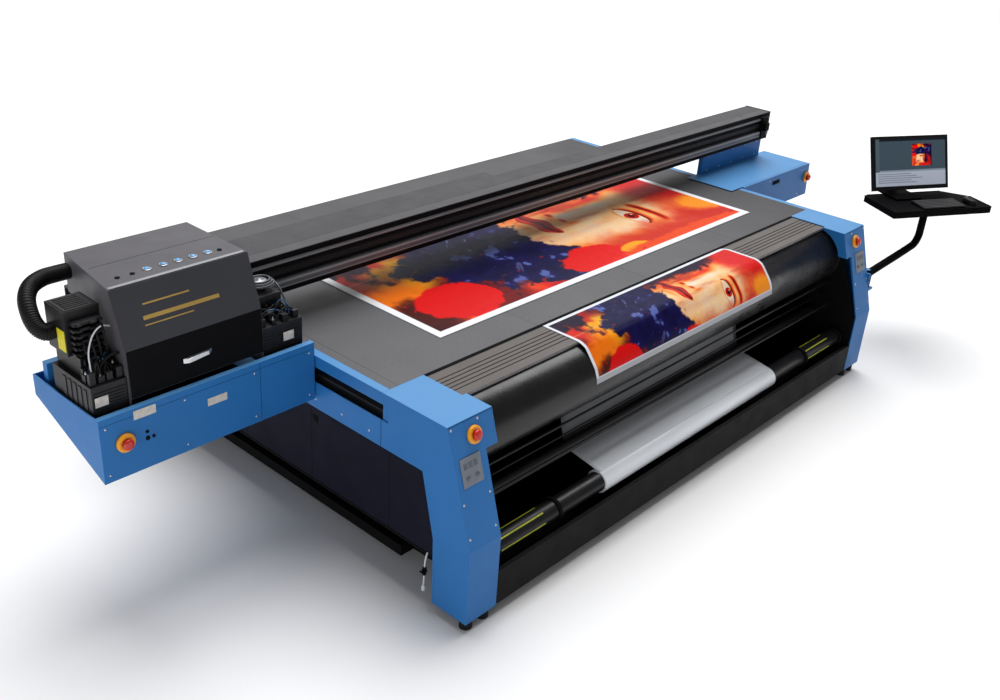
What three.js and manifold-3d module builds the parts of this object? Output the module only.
// Hybrid flatbed UV printer: a fixed flat table with a moving gantry, and a roll-to-roll module at its front.
// Millimetres, +X along the gantry to the operator's right, +Y from the front to the back, +Z up.
// Pieces are drawn with X = 0 at the table's left edge, Y = 0 at its front edge and Z = 0 on the floor.
// At the end the whole group is moved so that its origin is the centre of its footprint, on the floor.

import * as THREE from 'three';
import { mergeVertices } from 'three/addons/utils/BufferGeometryUtils.js';
import Module from 'manifold-3d';

const wasm = await Module();
wasm.setup();

// ---------------------------------------------------------------- driving dimensions
const GAP = 0.5;                     // clearance between pieces that touch on the real machine
const TABLE = { width: 3200, depth: 1744, top: 850, thick: 50 };
const SHEET_METAL = 5;               // wall of the painted covers
const COVER_OUT = 38;                // how far the side covers stand out from the table
const SLOT = { low: 732, high: 800, front: -36, back: 1690 };    // the gantry's way through a side cover

const LEG = {
  topFront: -338, kinkFront: -482, kinkZ: 380, bottom: 48,
  rearLow: -300, rearLowZ: 345, rearHigh: -224, rearHighZ: 615,
  inner: 130, hookInner: 193, hookLow: 716,
};
const PLATEN = { x0: 172.5, front: -207, top: 845 };
const DRUM = { y: -175, z: 682, r: 148, clearance: 5 };
const SHEET = { x0: 860, x1: 2300, thick: 1.2 };
const SHAFT = { y: -385, z: 242, r: 44 };
const MEDIA_ROLL_R = 53;
const TENSION = { y: -214, z: 352, r: 24 };
const JOURNAL_X = 112;               // outer end of the rollers' journals, inside the leg
const SIDE_PLATE = { x0: 131, x1: 137 };

const BEAM = { x0: -733, x1: 3933, y0: 712, y1: 885, z0: 978, z1: 1150, wall: 8 };
const TRAY_STEP = { x1: 1500, y1: 955, z0: 1060 };               // cable channel behind the beam's left part
const STATION = { x0: -948, x1: -45, y0: 384, y1: 826, top: 912, front: 662, back: 830, innerTop: 852 };
const RIGHT_STATION = { x0: 3245, topEnd: 4062, lowEnd: 4082, y0: 432, y1: 770, z0: 646, z1: 855 };
const ARM = { y0: 460, y1: 760, z0: 738, z1: 786, reach: 90 };   // the gantry's foot over each long rail
const WALL_Y = { y0: 745, y1: 775 };

const SHROUD = {
  x0: -804, x1: -254, low: 880, front: 415, crease: 425, creaseZ: 1107,
  topFront: 494, top: 1305, back: 885, overBeam: 1157, wall: 4, taper: 52,
};
const DOOR = { low: 927, thick: 4, hingeGap: 7 };
const LAMP = { z0: 870, y0: 432, y1: 686 };
const HEAD = { x0: -700, x1: -360, y0: 470, y1: 640, z0: 874, z1: 1030 };
const BUTTON = { r: 10, y: 578, xs: [-611, -547, -488, -428, -366] };
const STOP = { collarR: 35, collarDepth: 14, knobR: 20, stemR: 14 };

const LEG_SLOPE = Math.atan2(LEG.topFront - LEG.kinkFront, TABLE.top - LEG.kinkZ);
const PIVOT = { x: 3292, y: -400, z: 545 };                      // the operator arm's swing pin
const TRAY = { x: 3850, y: -440, z: 815, turn: -29, thick: 35 };

// ---------------------------------------------------------------- materials
const paint = (color, roughness, metalness = 0) =>
  new THREE.MeshStandardMaterial({ color, roughness, metalness });
const MAT = {
  blue: paint(0x4682bf, 0.42, 0.1),
  table: paint(0x878789, 0.5, 0.4),
  navy: paint(0x1e1e2b, 0.55),
  black: paint(0x19191c, 0.45),
  charcoal: paint(0x323338, 0.45),
  grey: paint(0x6e6c70, 0.45, 0.2),
  platen: paint(0x827a76, 0.4, 0.5),
  drum: paint(0x1e1e21, 0.35),
  steel: paint(0xb8bbc0, 0.3, 0.9),
  rubber: paint(0x101012, 0.8),
  paper: paint(0xeef1f5, 0.5),
  yellow: paint(0xf0a028, 0.4),
  red: paint(0xbe2814, 0.35),
  lit: paint(0x4fb4e8, 0.3),
};

// ---------------------------------------------------------------- solids
const box = (x0, x1, y0, y1, z0, z1) =>
  new THREE.BoxGeometry(x1 - x0, y1 - y0, z1 - z0).translate((x0 + x1) / 2, (y0 + y1) / 2, (z0 + z1) / 2);

const outline = (points, holes = []) => {
  const shape = new THREE.Shape(points.map(([a, b]) => new THREE.Vector2(a, b)));
  for (const hole of holes) shape.holes.push(new THREE.Path(hole.map(([a, b]) => new THREE.Vector2(a, b))));
  return shape;
};

const extrude = (shape, depth) =>
  new THREE.ExtrudeGeometry(shape, { depth, bevelEnabled: false, curveSegments: 8 });

// An outline in Y and Z, drawn along X.
const alongX = (points, x0, x1, holes) => {
  const cycle = new THREE.Matrix4().set(0, 0, 1, x0, 1, 0, 0, 0, 0, 1, 0, 0, 0, 0, 0, 1);
  return extrude(outline(points, holes), x1 - x0).applyMatrix4(cycle);
};

// An outline in X and Z, drawn along Y.
const alongY = (points, y0, y1, holes) =>
  extrude(outline(points, holes), y1 - y0).rotateX(Math.PI / 2).translate(0, y1, 0);

// An outline in X and Y, drawn along Z.
const alongZ = (points, z0, z1, holes) => extrude(outline(points, holes), z1 - z0).translate(0, 0, z0);

const rodX = (x0, x1, y, z, r, sides = 24) =>
  new THREE.CylinderGeometry(r, r, x1 - x0, sides).rotateZ(Math.PI / 2).translate((x0 + x1) / 2, y, z);
const rodY = (y0, y1, x, z, r, sides = 24) =>
  new THREE.CylinderGeometry(r, r, y1 - y0, sides).translate(x, (y0 + y1) / 2, z);
const rodZ = (z0, z1, x, y, r, sides = 24) =>
  new THREE.CylinderGeometry(r, r, z1 - z0, sides).rotateX(Math.PI / 2).translate(x, y, (z0 + z1) / 2);

const arc = (y, z, r, from, to, steps) =>
  Array.from({ length: steps + 1 }, (_, i) => {
    const a = THREE.MathUtils.degToRad(from + ((to - from) * i) / steps);
    return [y + r * Math.cos(a), z + r * Math.sin(a)];
  });

// Turns a closed geometry into a solid that can be joined and cut.
const solid = (piece) => {
  if (!piece.isBufferGeometry) return piece;
  const bare = piece.clone();
  bare.deleteAttribute('normal');
  bare.deleteAttribute('uv');
  const merged = mergeVertices(bare, 1e-3);
  return new wasm.Manifold(new wasm.Mesh({
    numProp: 3,
    vertProperties: new Float32Array(merged.attributes.position.array),
    triVerts: new Uint32Array(merged.index.array),
  }));
};

const join = (first, ...others) => others.reduce((sum, next) => sum.add(solid(next)), solid(first));
const cut = (first, ...tools) => tools.reduce((rest, tool) => rest.subtract(solid(tool)), solid(first));

const surface = (manifold) => {
  const data = manifold.getMesh();
  const geometry = new THREE.BufferGeometry();
  geometry.setAttribute('position', new THREE.BufferAttribute(new Float32Array(data.vertProperties), 3));
  geometry.setIndex(new THREE.BufferAttribute(new Uint32Array(data.triVerts), 1));
  const shaded = geometry.toNonIndexed();
  shaded.computeVertexNormals();
  return shaded;
};

const add = (parent, name, piece, material) => {
  const mesh = new THREE.Mesh(piece.isBufferGeometry ? piece : surface(piece), material);
  mesh.name = name;
  parent.add(mesh);
  return mesh;
};

// The same piece on the other side of the machine's middle plane.
// A mirrored surface is inside out, so each triangle's last two corners change places.
const mirrored = (piece) => {
  const flip = new THREE.Matrix4().makeScale(-1, 1, 1).setPosition(TABLE.width, 0, 0);
  const geometry = surface(solid(piece)).applyMatrix4(flip);
  const p = geometry.attributes.position;
  for (let i = 0; i < p.count; i += 3) {
    const second = new THREE.Vector3().fromBufferAttribute(p, i + 1);
    const third = new THREE.Vector3().fromBufferAttribute(p, i + 2);
    p.setXYZ(i + 1, ...third);
    p.setXYZ(i + 2, ...second);
  }
  geometry.computeVertexNormals();
  return geometry;
};

// A hollow roller along X: thin shell, closed ends and hollow journals, so that the inside stays open.
const roller = (x0, x1, y, z, r, wall, journal, sides) => {
  const bore = journal / 2;
  const profile = [
    [bore, JOURNAL_X], [journal, JOURNAL_X], [journal, x0], [r, x0],
    [r, x1], [journal, x1], [journal, TABLE.width - JOURNAL_X], [bore, TABLE.width - JOURNAL_X],
    [bore, x1 - wall], [r - wall, x1 - wall], [r - wall, x0 + wall], [bore, x0 + wall], [bore, JOURNAL_X],
  ].map(([radius, x]) => new THREE.Vector2(radius, x));
  return new THREE.LatheGeometry(profile, sides).rotateZ(-Math.PI / 2).translate(0, y, z);
};

const printer = new THREE.Group();

// ---------------------------------------------------------------- chassis, table and covers
const RAIL = { x0: 10, x1: 46, z0: 700, z1: 735.5, y0: 10, y1: 1715 };

// The leg's rear edge, from its foot up into the underside of the side cover.
const legRear = [
  [LEG.rearLow, LEG.bottom], [LEG.rearLow + 8, LEG.rearLowZ], [LEG.rearHigh, LEG.rearHighZ],
];
const legProfile = [
  [-GAP, TABLE.top], [LEG.topFront, TABLE.top], [LEG.kinkFront, LEG.kinkZ], [LEG.kinkFront, LEG.bottom],
  ...legRear, [-GAP, LEG.rearHighZ],
];

const inset = (amount) => [
  [-30, TABLE.top - 30], [LEG.topFront + amount, TABLE.top - 30],
  [LEG.kinkFront + amount, LEG.kinkZ], [LEG.kinkFront + amount, LEG.bottom - 10],
  [LEG.rearLow - amount, LEG.bottom - 10], [LEG.rearLow - amount, LEG.rearLowZ],
  [LEG.rearHigh - 20, LEG.rearHighZ + 8], [-30, LEG.rearHighZ + 8],
];

const buildLeg = () => {
  const hook = [
    [-GAP, TABLE.top], [LEG.topFront, TABLE.top],
    [LEG.topFront - (TABLE.top - LEG.hookLow) * Math.tan(LEG_SLOPE), LEG.hookLow], [-GAP, LEG.hookLow],
  ];
  return cut(
    join(alongX(legProfile, -COVER_OUT, LEG.inner), alongX(hook, LEG.inner - 1, LEG.hookInner)),
    alongX(inset(6), -COVER_OUT + SHEET_METAL, LEG.inner + 1),
    rodX(LEG.inner - 20, LEG.hookInner + 1, DRUM.y, DRUM.z, DRUM.r + 2 * DRUM.clearance, 40),
    box(-1, LEG.hookInner + 1, -80, 1, LEG.hookLow - 1, TABLE.top - 12),
    box(PLATEN.x0 - GAP, LEG.hookInner + 1, PLATEN.front - 2, 1, LEG.hookLow - 1, TABLE.top + 1),
    box(-COVER_OUT - 1, -COVER_OUT + SHEET_METAL + 1, SLOT.front, 1, SLOT.low, SLOT.high),
    rodX(LEG.inner - 10, LEG.inner + 1, SHAFT.y, SHAFT.z, 30),
  );
};

const coverProfile = [
  [-COVER_OUT, LEG.rearHighZ], [-COVER_OUT + SHEET_METAL, LEG.rearHighZ],
  [-COVER_OUT + SHEET_METAL, TABLE.top - SHEET_METAL], [-GAP, TABLE.top - SHEET_METAL],
  [-GAP, TABLE.top], [-COVER_OUT, TABLE.top],
];
const railCover = cut(
  alongY(coverProfile, 0, TABLE.depth),
  box(-COVER_OUT - 1, -COVER_OUT + SHEET_METAL + 1, -1, SLOT.back, SLOT.low, SLOT.high),
);
// The side panels hang inside the covers' lower edge and stop short of the legs.
const PANEL = { x0: -30, x1: -24, low: 250, gap: 1.2, overlap: 60 };
const lowerPanel = alongX([
  [LEG.rearLow + 8 + PANEL.gap, PANEL.low], ...legRear.slice(1).map(([y, z]) => [y + PANEL.gap, z - PANEL.gap]),
  [0, LEG.rearHighZ - PANEL.gap], [0, LEG.rearHighZ + PANEL.overlap],
  [TABLE.depth, LEG.rearHighZ + PANEL.overlap], [TABLE.depth, PANEL.low],
], PANEL.x0, PANEL.x1);

// A shelf and a pin on the right leg that the operator's arm swings on.
const buildArmBracket = () => {
  const wall = TABLE.width + COVER_OUT - 1;
  const { x, y, z } = PIVOT;
  const halfWidth = 40;
  return join(
    box(wall, x + 22, y - halfWidth, y + halfWidth, z - 70, z - 58),
    box(wall, wall + 9, y - halfWidth, y + halfWidth, z - 90, z + 40),
    rodZ(z - 59, z + 42, x, y, 14, 16),
  );
};

const buildSides = () => {
  add(printer, 'left_rail_cover', railCover, MAT.blue);
  add(printer, 'right_rail_cover', mirrored(railCover), MAT.blue);
  add(printer, 'left_lower_panel', lowerPanel, MAT.navy);
  add(printer, 'right_lower_panel', mirrored(lowerPanel), MAT.navy);
  const leg = buildLeg();
  add(printer, 'left_leg', leg, MAT.blue);
  add(printer, 'right_leg', join(mirrored(leg), buildArmBracket()), MAT.blue);
  const rail = box(RAIL.x0, RAIL.x1, RAIL.y0, RAIL.y1, RAIL.z0, RAIL.z1);
  add(printer, 'left_y_rail', rail, MAT.steel);
  add(printer, 'right_y_rail', mirrored(rail), MAT.steel);
};

const buildTable = () => {
  const cells = [];
  const cellCount = 4;
  const rim = 40;
  const skin = 12;
  const pitch = (TABLE.width - rim) / cellCount;
  for (let i = 0; i < cellCount; i += 1) {
    const x = rim + i * pitch;
    cells.push(box(
      x, x + pitch - rim, rim, TABLE.depth - rim, TABLE.top - TABLE.thick - 1, TABLE.top - skin,
    ));
  }
  const base = TABLE.top - TABLE.thick;
  add(printer, 'table_top', cut(box(0, TABLE.width, 0, TABLE.depth, base, TABLE.top), ...cells), MAT.table);

  // A standard 8 x 4 ft sheet.
  const board = { x0: 440, y0: 178, width: 2440, depth: 1220, thick: 4 };
  const boardBase = TABLE.top + GAP;
  add(printer, 'printed_board', box(
    board.x0, board.x0 + board.width, board.y0, board.y0 + board.depth, boardBase, boardBase + board.thick,
  ), MAT.paper);
  add(printer, 'rear_panel', box(
    -23, TABLE.width + 23, TABLE.depth - 12, TABLE.depth - 6, 60, TABLE.top - TABLE.thick - 2), MAT.navy);
};

// Welded tubes and plates that carry everything else.
const buildChassis = () => {
  const pair = (piece) => [piece, mirrored(piece)];
  const right = TABLE.width - SIDE_PLATE.x0;
  const sideProfile = [
    [-14, 697], [-340, 697], [-470, LEG.kinkZ], [-470, 60], [-14, 60],
  ];
  const holes = [
    [DRUM.y, DRUM.z, 26], [TENSION.y, TENSION.z, 13], [SHAFT.y, SHAFT.z, 23],
  ].map(([y, z, r]) => rodX(SIDE_PLATE.x0 - 5, SIDE_PLATE.x1 + 5, y, z, r, 24));
  const sidePlate = cut(alongX(sideProfile, SIDE_PLATE.x0, SIDE_PLATE.x1), ...holes);
  const beamZ = { low: 53, high: 210 };
  const pieces = [
    ...pair(sidePlate),
    ...pair(box(8, 70, 1, 1720, 640, 699.5)),
    ...pair(box(8, 70, 1650, 1720, 53.5, 645)),
    ...pair(box(60, 145, -20, 1720, 60, 110)),
    box(SIDE_PLATE.x0, right, -20, -14, 60, 790),
    box(SIDE_PLATE.x0, right, LEG.kinkFront + 4, -14, 60, 66),
    box(SIDE_PLATE.x0, right, LEG.kinkFront, -474, beamZ.low, beamZ.high),
    box(SIDE_PLATE.x0, right, LEG.kinkFront, -462, beamZ.high - 6, beamZ.high),
    box(60, TABLE.width - 60, 1240, 1300, 60, 119.5),
    box(60, TABLE.width - 60, 1650, 1720, 60, 119.5),
  ];
  for (const y of [1, 560, 1140, 1650]) {
    pieces.push(box(SIDE_PLATE.x0, right, y, y + 30, 699, TABLE.top - TABLE.thick - GAP));
    pieces.push(...pair(box(60, 200, y, y + 60, 640, 700)));
  }
  pieces.push(box(SIDE_PLATE.x0, right, -20, 2, 640, 790));
  add(printer, 'chassis', join(...pieces), MAT.black);
};

const buildFeet = () => {
  const padY = -446;
  const front = join(
    box(-26, 118, padY - 22, padY + 22, 34, LEG.bottom - GAP),
    rodZ(0, 36, 2, padY, 26, 20),
    rodZ(0, 36, 92, padY, 26, 20),
  );
  const rear = join(rodZ(0, 14, 40, 1685, 40, 20), rodZ(12, 53, 40, 1685, 14, 16));
  add(printer, 'front_left_foot', front, MAT.rubber);
  add(printer, 'front_right_foot', mirrored(front), MAT.rubber);
  add(printer, 'rear_left_foot', rear, MAT.rubber);
  add(printer, 'rear_right_foot', mirrored(rear), MAT.rubber);
};

// What feeds the heads, holds the sheet down and drives the axes, on the chassis' two low cross members.
const buildInside = () => {
  const [x0, x1, y0, y1, z0, z1] = [260, 960, 1245, 1640, 120, 600];
  const wall = 3;
  const inlet = box(x0 + 60, x0 + 130, y1 - 1, y1 + 26, 220, 270);
  add(printer, 'control_cabinet', join(
    cut(box(x0, x1, y0, y1, z0, z1), box(x0 + wall, x1 - wall, y0 + wall, y1 - wall, z0 - 1, z1 - wall)),
    inlet,
  ), MAT.grey);
  const pump = { x: 2250, z: 250, r: 105 };
  add(printer, 'vacuum_pump', join(
    box(pump.x - 130, pump.x + 130, 1245, 1640, 120, 150),
    rodY(1270, 1600, pump.x, pump.z, pump.r, 20),
    rodZ(330, 640, pump.x, 1380, 32, 16),
  ), MAT.grey);
};

// ---------------------------------------------------------------- roll-to-roll module
const buildRollModule = () => {
  const rearRib = -38;
  const groove = { count: 5, width: 6, depth: 3, first: -60, pitch: 24 };
  const grooves = [];
  for (let i = 0; i < groove.count; i += 1) {
    const y = groove.first - i * groove.pitch;
    grooves.push(box(0, TABLE.width, y - groove.width, y, PLATEN.top - groove.depth, PLATEN.top + 1));
  }
  add(printer, 'front_platen', cut(
    box(PLATEN.x0, TABLE.width - PLATEN.x0, PLATEN.front, -4, 791, PLATEN.top),
    box(0, TABLE.width, PLATEN.front - 1, rearRib, 780, PLATEN.top - 40),
    rodX(0, TABLE.width, DRUM.y, DRUM.z, DRUM.r + 4, 64),
    ...grooves,
  ), MAT.platen);

  const drumEnd = 142;
  add(printer, 'feed_drum', roller(
    drumEnd, TABLE.width - drumEnd, DRUM.y, DRUM.z, DRUM.r, 6, 24, 48), MAT.drum);
  add(printer, 'tension_roller', roller(
    drumEnd, TABLE.width - drumEnd, TENSION.y, TENSION.z, TENSION.r, 4, 12, 20), MAT.black);
  add(printer, 'air_shaft', roller(
    drumEnd, TABLE.width - drumEnd, SHAFT.y, SHAFT.z, SHAFT.r, 5, 22, 28), MAT.black);

  const rollProfile = [
    [SHAFT.r + GAP, SHEET.x0], [MEDIA_ROLL_R, SHEET.x0], [MEDIA_ROLL_R, SHEET.x1], [SHAFT.r + GAP, SHEET.x1],
    [SHAFT.r + GAP, SHEET.x0],
  ].map(([r, x]) => new THREE.Vector2(r, x));
  add(printer, 'media_roll', new THREE.LatheGeometry(rollProfile, 32)
    .rotateZ(-Math.PI / 2).translate(0, SHAFT.y, SHAFT.z), MAT.paper);

  // The finished print lies on the platen and bends down over the drum.
  const over = DRUM.r + 2.5;
  const edge = PLATEN.front;
  const lying = PLATEN.top + 1;
  const topLine = [[-14, lying], [edge + 11, lying], [edge - 3, lying - 0.8], [edge - 15, lying - 7.5]];
  const bend = arc(DRUM.y, DRUM.z, over, 134, 176, 9);
  add(printer, 'printed_sheet', strip([...topLine, ...bend], -SHEET.thick), MAT.paper);

  // The loaded web hangs behind the tension roller, passes under it and runs forward onto the roll.
  const under = TENSION.r + 2;
  const hang = [[-152, 524], [-160, 430]];
  const wrap = arc(TENSION.y, TENSION.z, under, 0, -94, 8);
  const onRoll = arc(SHAFT.y, SHAFT.z, MEDIA_ROLL_R + 2, 84, 92, 2);
  add(printer, 'media_web', strip([...hang, ...wrap, ...onRoll], SHEET.thick), MAT.paper);
};

// A thin sheet across the media's width that follows a path in Y and Z.
function strip(path, thick) {
  const points = path.map(([y, z]) => new THREE.Vector2(y, z));
  const offset = points.map((point, i) => {
    const before = points[Math.max(i - 1, 0)];
    const after = points[Math.min(i + 1, points.length - 1)];
    const along = after.clone().sub(before).normalize();
    return [point.x - along.y * thick, point.y + along.x * thick];
  });
  return alongX([...path, ...offset.reverse()], SHEET.x0, SHEET.x1);
}

// ---------------------------------------------------------------- gantry
const buildGantry = () => {
  const { wall } = BEAM;
  const section = [[BEAM.y0, BEAM.z0], [BEAM.y1, BEAM.z0], [BEAM.y1, BEAM.z1], [BEAM.y0, BEAM.z1]];
  const hollow = [
    [BEAM.y0 + wall, BEAM.z0 + wall], [BEAM.y1 - wall, BEAM.z0 + wall],
    [BEAM.y1 - wall, BEAM.z1 - wall], [BEAM.y0 + wall, BEAM.z1 - wall],
  ];
  const channel = [
    [BEAM.y1 - 1, TRAY_STEP.z0], [TRAY_STEP.y1, TRAY_STEP.z0], [TRAY_STEP.y1, BEAM.z1 - 2],
    [TRAY_STEP.y1 - 5, BEAM.z1 - 2], [TRAY_STEP.y1 - 5, TRAY_STEP.z0 + 5], [BEAM.y1 - 1, TRAY_STEP.z0 + 5],
  ];
  add(printer, 'gantry_beam', join(
    alongX(section, BEAM.x0, BEAM.x1, [hollow]),
    alongX(channel, BEAM.x0, TRAY_STEP.x1),
    box(BEAM.x0, TRAY_STEP.x1, BEAM.y1 - 1, TRAY_STEP.y1, BEAM.z1 - 6, BEAM.z1),
  ), MAT.grey);
  const face = BEAM.y0 - GAP;
  add(printer, 'upper_x_rail', box(BEAM.x0 + 20, BEAM.x1 - 20, face - 12, face, 1112, 1124), MAT.steel);
  add(printer, 'lower_x_rail', box(BEAM.x0 + 20, BEAM.x1 - 20, face - 20, face, 1010, 1045), MAT.steel);
  add(printer, 'drive_belt', box(BEAM.x0 + 40, BEAM.x1 - 40, face - 8, face - 5, 1066, 1090), MAT.rubber);

  const wallTop = BEAM.z0 - GAP;
  add(printer, 'left_gantry_wall', box(
    -930, STATION.x1 - 12, WALL_Y.y0, WALL_Y.y1, 821, wallTop), MAT.blue);
  add(printer, 'right_gantry_wall', box(
    RIGHT_STATION.x0, BEAM.x1, WALL_Y.y0 - 5, WALL_Y.y0 + 24, RIGHT_STATION.z1 + GAP, wallTop), MAT.blue);
};

// The foot that passes through the side slot and rides on the long rail.
const railArm = join(
  box(STATION.x1 - 1, ARM.reach, ARM.y0, ARM.y1, ARM.z0, ARM.z1),
  box(RAIL.x0 - 16, RAIL.x0 - 2, ARM.y0, ARM.y1, ARM.z0 - 24, ARM.z0 + 1),
  box(RAIL.x1 + 2, RAIL.x1 + 16, ARM.y0, ARM.y1, ARM.z0 - 24, ARM.z0 + 1),
);

const buildStations = () => {
  const t = SHEET_METAL;
  const { x0, x1, y0, y1, top, front, back } = STATION;
  const outer = [[y0, front], [y1, back], [y1, top], [y0, top]];
  const lip = { depth: 24, thick: 4 };
  const inner = [
    [y0 + t, front + t + 3], [y1 - t, back + t], [y1 - t, top + 1],
    [y0 + lip.depth, top + 1], [y0 + lip.depth, top - lip.thick], [y0 + t, top - lip.thick],
  ];
  const notch = 30;
  add(printer, 'left_station', join(
    cut(
      alongX(outer, x0, x1),
      alongX(inner, x0 + t, x1 - t),
      box(x1 - t - 1, x1 + 1, y0 + notch, y1 - notch, STATION.innerTop, top + 1),
    ),
    railArm,
  ), MAT.blue);
  add(printer, 'capping_block', box(-760, -300, 440, 640, 770, 838), MAT.black);

  const station = RIGHT_STATION;
  const shell = [
    [station.x0, station.z0], [station.lowEnd, station.z0],
    [station.topEnd, station.z1], [station.x0, station.z1],
  ];
  const room = [
    [station.x0 + t, station.z0 - 1], [station.lowEnd - t, station.z0 - 1],
    [station.topEnd - t, station.z1 - t], [station.x0 + t, station.z1 - t],
  ];
  add(printer, 'right_station', join(
    cut(alongY(shell, station.y0, station.y1), alongY(room, station.y0 + t, station.y1 - t)),
    mirrored(railArm),
  ), MAT.blue);
};

// ---------------------------------------------------------------- carriage
const buildCarriage = () => {
  const s = SHROUD;
  add(printer, 'carriage_slider', join(
    box(s.x0 + 33, s.x1 - 6, 641, 688, 960, 1146),
    box(-640, -420, 687, 699, 1104, 1132),
  ), MAT.black);
  add(printer, 'print_head_block', join(
    box(HEAD.x0, HEAD.x1, HEAD.y0, HEAD.y1, HEAD.z0 + 40, HEAD.z1),
    box(HEAD.x0 + 30, HEAD.x1 - 30, HEAD.y0 + 20, HEAD.y1 - 20, HEAD.z0, HEAD.z0 + 41),
  ), MAT.black);

  // The shroud is open in front, where the door hangs, and straddles the beam behind.
  const d = DOOR.thick + 1;
  const side = [
    [s.front + d, s.low], [s.crease + d, s.creaseZ],
    [s.topFront + d, s.top - 6], [s.topFront + DOOR.hingeGap, s.top],
    [s.back, s.top], [s.back, s.overBeam], [705, s.overBeam], [705, 1148], [640, 1148], [640, s.low],
  ];
  const room = [
    [s.front, s.low - 1], [s.crease, s.creaseZ], [s.topFront + DOOR.hingeGap + 1, s.top - s.wall],
    [s.back - s.wall, s.top - s.wall], [s.back - s.wall, s.overBeam - 1], [700, s.overBeam - 1], [700, 1140],
    [650, 1140], [650, s.low - 1],
  ];
  const buttonHoles = BUTTON.xs.map((x) => rodZ(s.top - 20, s.top + 1, x, BUTTON.y, BUTTON.r + 1.5, 16));
  // Its left side leans in towards the back.
  const plan = (inset) => alongZ([
    [s.x0 + inset, s.front - 20], [s.x1 - inset, s.front - 20], [s.x1 - inset, s.back + 1],
    [s.x0 + s.taper + inset, s.back + 1], [s.x0 + inset, s.topFront],
  ], s.low - 5, s.top + 5);
  add(printer, 'carriage_shroud', cut(
    solid(alongX(side, s.x0, s.x1)).intersect(solid(plan(0))),
    solid(alongX(room, s.x0, s.x1)).intersect(solid(plan(s.wall))),
    box(s.x0 + s.wall, s.x1 - s.wall, s.front - 5, s.topFront + DOOR.hingeGap, s.low - 1, s.top + 1),
    ...buttonHoles,
  ), MAT.grey);

  const front = doorLine(DOOR.low);
  const back = front.map(([y, z]) => [y + DOOR.thick, z - (z > s.creaseZ + 1 ? 1.2 : 0)]).reverse();
  add(printer, 'shroud_door', alongX([...front, ...back], s.x0 + 1, s.x1 - 1), MAT.charcoal);

  BUTTON.xs.forEach((x, i) => {
    add(printer, `carriage_button_${i + 1}`, rodZ(s.top - 10, s.top + 5, x, BUTTON.y, BUTTON.r, 16), MAT.lit);
  });
};

// The door's face from its low edge, over the crease, to the hinge at the shroud's top.
function doorLine(low) {
  const rise = (low - SHROUD.low) / (SHROUD.creaseZ - SHROUD.low);
  const y = SHROUD.front + rise * (SHROUD.crease - SHROUD.front);
  return [[y, low], [SHROUD.crease, SHROUD.creaseZ], [SHROUD.topFront, SHROUD.top]];
}

const buildLamps = () => {
  const left = { x0: -935, x1: SHROUD.x0 - GAP };
  add(printer, 'left_uv_lamp', join(
    box(left.x0, left.x1, LAMP.y0, LAMP.y1, LAMP.z0, 1010),
    box(left.x0 + 20, left.x1, 520, LAMP.y1, 1009, 1080),
    box(left.x0, left.x1 - 4, 560, LAMP.y1, 1079, 1240),
  ), MAT.black);
  const right = { x0: SHROUD.x1 + GAP, x1: -64 };
  add(printer, 'right_uv_lamp', join(
    box(right.x0, right.x1, LAMP.y0, 640, LAMP.z0, 1010),
    box(right.x0, right.x1 - 30, 520, LAMP.y1, 1009, 1095),
  ), MAT.black);

  // Cable sleeve from the shroud's rear corner round to the lamp's supply box.
  const route = new THREE.CatmullRomCurve3([
    [-765, 845, 1251], [-815, 842, 1253], [-865, 834, 1254], [-920, 806, 1247], [-960, 757, 1228],
    [-980, 700, 1195], [-980, 662, 1166], [-962, 645, 1149], [-938, 645, 1149],
  ].map((p) => new THREE.Vector3(...p)), false, 'centripetal');
  const ring = new THREE.Shape();
  ring.absarc(0, 0, 30, 0, 2 * Math.PI, false);
  add(printer, 'cable_loop', new THREE.ExtrudeGeometry(ring, {
    steps: 20, curveSegments: 5, bevelEnabled: false, extrudePath: route,
  }), MAT.rubber);
};

// ---------------------------------------------------------------- emergency stops
const lathe = (points, sides) =>
  new THREE.LatheGeometry(points.map(([r, z]) => new THREE.Vector2(r, z)), sides).rotateX(Math.PI / 2);

// place is the collar's centre on the panel; tilt turns its axis up from level, facing the front.
const addStop = (name, place, tilt = 0) => {
  const stop = new THREE.Group();
  stop.position.set(...place);
  stop.rotation.x = Math.PI / 2 - tilt;
  const depth = STOP.collarDepth;
  add(stop, `${name}_stop_collar`, lathe([
    [STOP.stemR + 2, 0], [STOP.collarR, 0], [STOP.collarR, depth - 4], [STOP.collarR - 5, depth],
    [STOP.stemR + 2, depth], [STOP.stemR + 2, 0],
  ], 24), MAT.yellow);
  add(stop, `${name}_stop_knob`, lathe([
    [0, 5], [STOP.stemR, 5], [STOP.stemR, depth + 4], [STOP.knobR, depth + 6],
    [STOP.knobR, depth + 13], [STOP.knobR - 6, depth + 18], [0, depth + 19],
  ], 20), MAT.red);
  printer.add(stop);
};

const legFaceY = (z) => LEG.topFront - (TABLE.top - z) * Math.tan(LEG_SLOPE);

const buildStops = () => {
  const stopZ = 786;
  const off = GAP + 0.2;
  const legPlace = (x) => [x, legFaceY(stopZ) - off * Math.cos(LEG_SLOPE), stopZ + off * Math.sin(LEG_SLOPE)];
  addStop('left_leg', legPlace(81), LEG_SLOPE);
  addStop('right_leg', legPlace(TABLE.width - 81), LEG_SLOPE);
  addStop('left_station', [-860, STATION.y0 - off, 798]);
  addStop('right_station', [4034, RIGHT_STATION.y0 - off, 770]);
};

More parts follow.
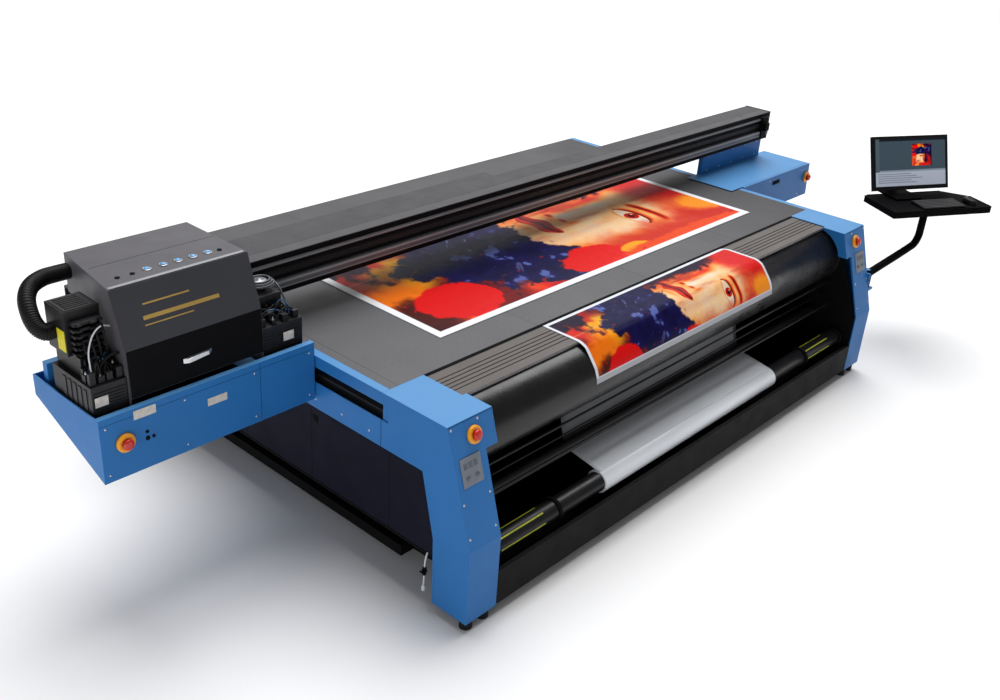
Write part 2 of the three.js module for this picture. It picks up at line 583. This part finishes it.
// ---------------------------------------------------------------- operator's station
const buildOperatorStation = () => {
  const post = { x: TRAY.x, y: TRAY.y, low: 640, high: TRAY.z - GAP };
  const line = new THREE.CatmullRomCurve3([
    [PIVOT.x + 10, PIVOT.y, PIVOT.z + 12], [PIVOT.x + 90, PIVOT.y - 6, PIVOT.z + 24],
    [post.x - 110, post.y + 8, post.low - 26], [post.x - 34, post.y + 2, post.low - 6],
    [post.x - 4, post.y, post.low + 34], [post.x, post.y, post.low + 70],
  ].map((p) => new THREE.Vector3(...p)), false, 'centripetal');
  const tube = new THREE.Shape();
  tube.absarc(0, 0, 22, 0, 2 * Math.PI, false);
  add(printer, 'monitor_arm', cut(
    join(
      new THREE.ExtrudeGeometry(tube, {
        steps: 20, curveSegments: 5, bevelEnabled: false, extrudePath: line,
      }),
      rodZ(PIVOT.z - 57, PIVOT.z + 40, PIVOT.x, PIVOT.y, 26, 20),
      rodZ(post.low + 66, post.high, post.x, post.y, 22, 20),
    ),
    rodZ(PIVOT.z - 60, PIVOT.z + 60, PIVOT.x, PIVOT.y, 15, 16),
  ), MAT.black);

  // The tray's group turns on the post; X runs along its front edge.
  const tray = new THREE.Group();
  tray.position.set(TRAY.x, TRAY.y, TRAY.z);
  tray.rotation.z = THREE.MathUtils.degToRad(TRAY.turn);
  const top = TRAY.thick;
  add(tray, 'operator_tray', alongZ([
    [-270, -68], [420, -68], [432, -56], [432, 136], [300, 254], [-235, 254], [-258, 240], [-270, -56],
  ], 0, top), MAT.black);
  add(tray, 'keyboard', box(-50, 250, -48, 78, top + GAP, top + 20), MAT.black);
  const oval = arc(0, 0, 1, 0, 340, 17).map(([x, y]) => [330 + 31 * x, 22 + 52 * y]);
  add(tray, 'mouse', alongZ(oval, top + GAP, top + 32), MAT.black);

  // The neck rises behind the screen, which leans back on it.
  const neck = [[290, 11], [312, 11], [322, 80], [335, 150], [335, 190], [313, 190], [313, 150], [300, 80]];
  add(tray, 'monitor_stand', join(
    box(-120, 60, 120, 312, GAP, 12),
    alongX(neck, -70, 0),
  ).translate([0, 0, top]), MAT.black);
  const screen = { width: 540, height: 320, thick: 22, x: 35, y: 198, low: 40, lean: 21.7 };
  const monitor = new THREE.Group();
  monitor.position.set(screen.x, screen.y, top + screen.low);
  monitor.rotation.x = THREE.MathUtils.degToRad(-screen.lean);
  add(monitor, 'monitor', join(
    box(-screen.width / 2, screen.width / 2, 0, screen.thick, 0, screen.height),
    box(-150, 120, screen.thick - 1, 48, 70, 250),
  ), MAT.black);
  tray.add(monitor);
  printer.add(tray);
};

buildTable();
buildSides();
buildChassis();
buildFeet();
buildInside();
buildRollModule();
buildGantry();
buildStations();
buildCarriage();
buildLamps();
buildStops();
buildOperatorStation();

printer.updateMatrixWorld(true);
const bounds = new THREE.Box3().setFromObject(printer, true);
const centre = bounds.getCenter(new THREE.Vector3());
printer.position.set(-centre.x, -centre.y, -bounds.min.z);

export default printer;
